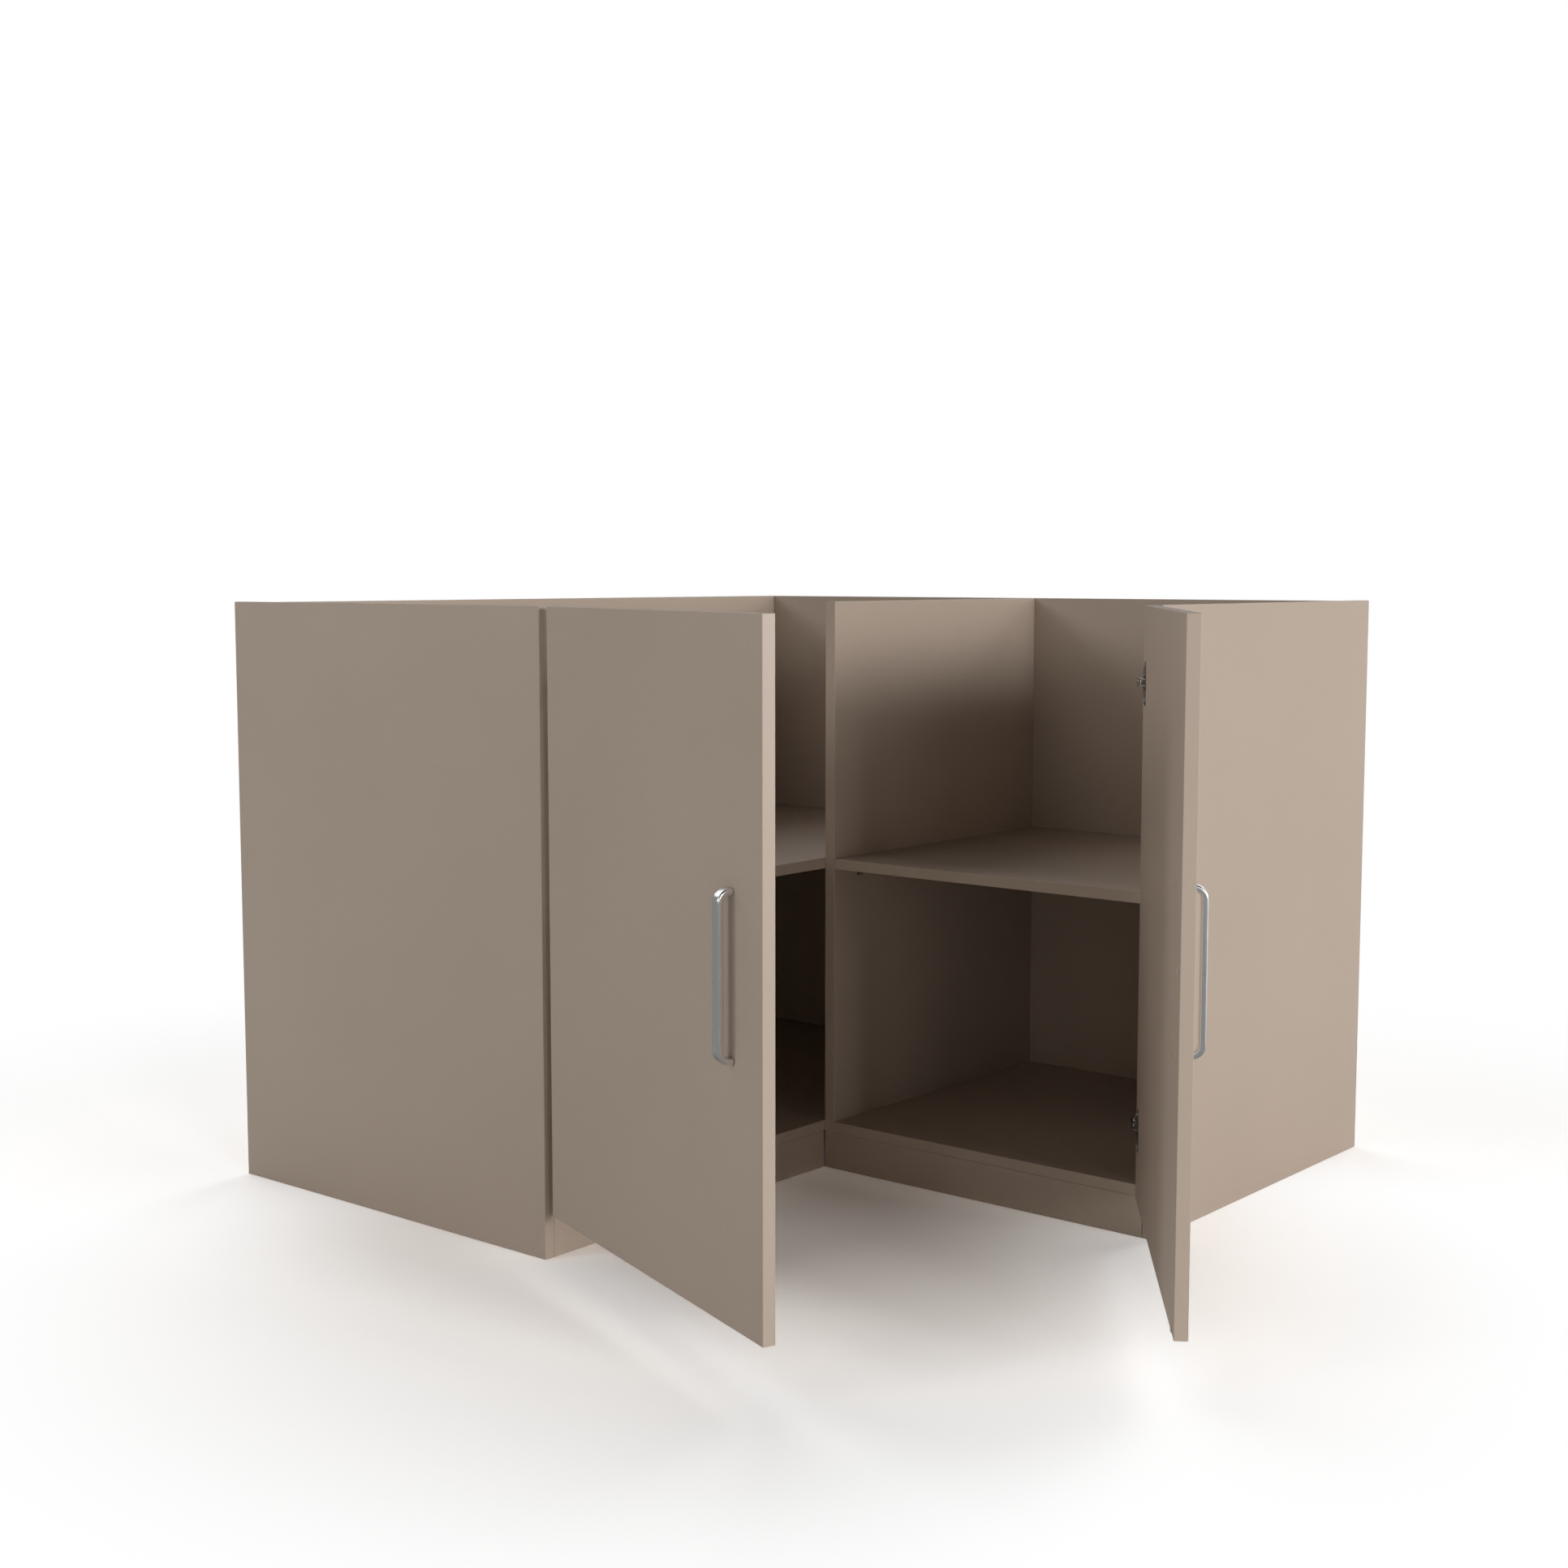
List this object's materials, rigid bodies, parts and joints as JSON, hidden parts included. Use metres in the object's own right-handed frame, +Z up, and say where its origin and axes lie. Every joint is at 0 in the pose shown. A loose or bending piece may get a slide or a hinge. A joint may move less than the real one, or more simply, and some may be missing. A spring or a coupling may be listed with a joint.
{
  "type": "corner kitchen cabinet",
  "caption": "L-shaped corner base cabinet, open at the top for a worktop, with a shelf in each box, a hinged door on each arm and bow handles.",
  "frame": {"origin": "corner of the room at floor level, where the planes of the two walls meet behind the cabinet", "axes": "+Z up; the left arm runs along the wall y = 0 towards -X, the right arm along the wall x = 0 towards -Y"},
  "size_m": [1.3881, 1.5101, 0.85],
  "materials": {
    "carcass_board": "matt taupe melamine on chipboard",
    "door_board": "matt taupe melamine on chipboard",
    "door_edging": "matt edging in the door's colour",
    "handle_steel": "satin",
    "hinge_steel": "nickel plated",
    "pin_steel": "plain",
    "zinc_fitting": "zinc plated",
    "beech": "plain beech",
    "bumper_rubber": "soft, clear"
  },
  "bodies": {
    "carcass": {"left_end_panel": "carcass_board", "right_end_panel": "carcass_board", "divider": "carcass_board", "left_back_panel": "carcass_board", "right_back_panel": "carcass_board", "left_bottom": "carcass_board", "right_bottom": "carcass_board", "left_plinth": "carcass_board", "right_plinth": "carcass_board", "left_shelf": "carcass_board", "right_shelf": "carcass_board", "left_hinge_arms": "hinge_steel", "right_hinge_arms": "hinge_steel", "left_shelf_supports": "hinge_steel", "right_shelf_supports": "hinge_steel", "arm_pins": "pin_steel", "cam_housings": "zinc_fitting", "cam_bolts": "zinc_fitting", "left_mounting_plates": "zinc_fitting", "right_mounting_plates": "zinc_fitting", "plate_screws": "zinc_fitting", "adjusting_screws": "zinc_fitting", "dowels": "beech", "plinth_dowels": "beech"},
    "left_door": {"left_door": "door_board", "left_door_edging": "door_edging", "left_handle": "handle_steel", "left_hinge_cups": "hinge_steel", "left_cup_pins": "pin_steel", "left_handle_screws": "zinc_fitting", "left_cup_screws": "zinc_fitting", "left_bumpers": "bumper_rubber"},
    "right_door": {"right_door": "door_board", "right_door_edging": "door_edging", "right_handle": "handle_steel", "right_hinge_cups": "hinge_steel", "right_cup_pins": "pin_steel", "right_handle_screws": "zinc_fitting", "right_cup_screws": "zinc_fitting", "right_bumpers": "bumper_rubber"},
    "left_inner_links": {"left_inner_links": "hinge_steel"},
    "left_outer_links": {"left_outer_links": "hinge_steel", "left_elbow_pins": "pin_steel"},
    "right_inner_links": {"right_inner_links": "hinge_steel"},
    "right_outer_links": {"right_outer_links": "hinge_steel", "right_elbow_pins": "pin_steel"}
  },
  "joints": [
    {"name": "left_door_hinge", "type": "hinge", "parent": "carcass", "child": "left_door", "pos_m": [-1.1975, -0.6515, 0], "axis": [0, 0, 1], "range_deg": [-15, 110]},
    {"name": "left_inner_link_turn", "type": "hinge", "parent": "carcass", "child": "left_inner_links", "pos_m": [-1.173, -0.636, 0], "axis": [0, 0, 1], "range_deg": [-15, 110]},
    {"name": "left_outer_link_turn", "type": "hinge", "parent": "left_inner_links", "child": "left_outer_links", "pos_m": [-1.1707, -0.65014, 0], "axis": [0, 0, 1], "range_deg": [-110, 15]},
    {"name": "right_door_hinge", "type": "hinge", "parent": "carcass", "child": "right_door", "pos_m": [-0.6355, -1.1975, 0], "axis": [0, 0, 1], "range_deg": [-125, 0]},
    {"name": "right_inner_link_turn", "type": "hinge", "parent": "carcass", "child": "right_inner_links", "pos_m": [-0.62, -1.173, 0], "axis": [0, 0, 1], "range_deg": [-125, 0]},
    {"name": "right_outer_link_turn", "type": "hinge", "parent": "right_inner_links", "child": "right_outer_links", "pos_m": [-0.63425, -1.17444, 0], "axis": [0, 0, 1], "range_deg": [0, 125]}
  ],
  "couplings": [
    {"joint": "left_inner_link_turn", "follows": "left_door_hinge", "ratio": 1},
    {"joint": "left_outer_link_turn", "follows": "left_door_hinge", "ratio": -1},
    {"joint": "right_inner_link_turn", "follows": "right_door_hinge", "ratio": 1},
    {"joint": "right_outer_link_turn", "follows": "right_door_hinge", "ratio": -1}
  ]
}
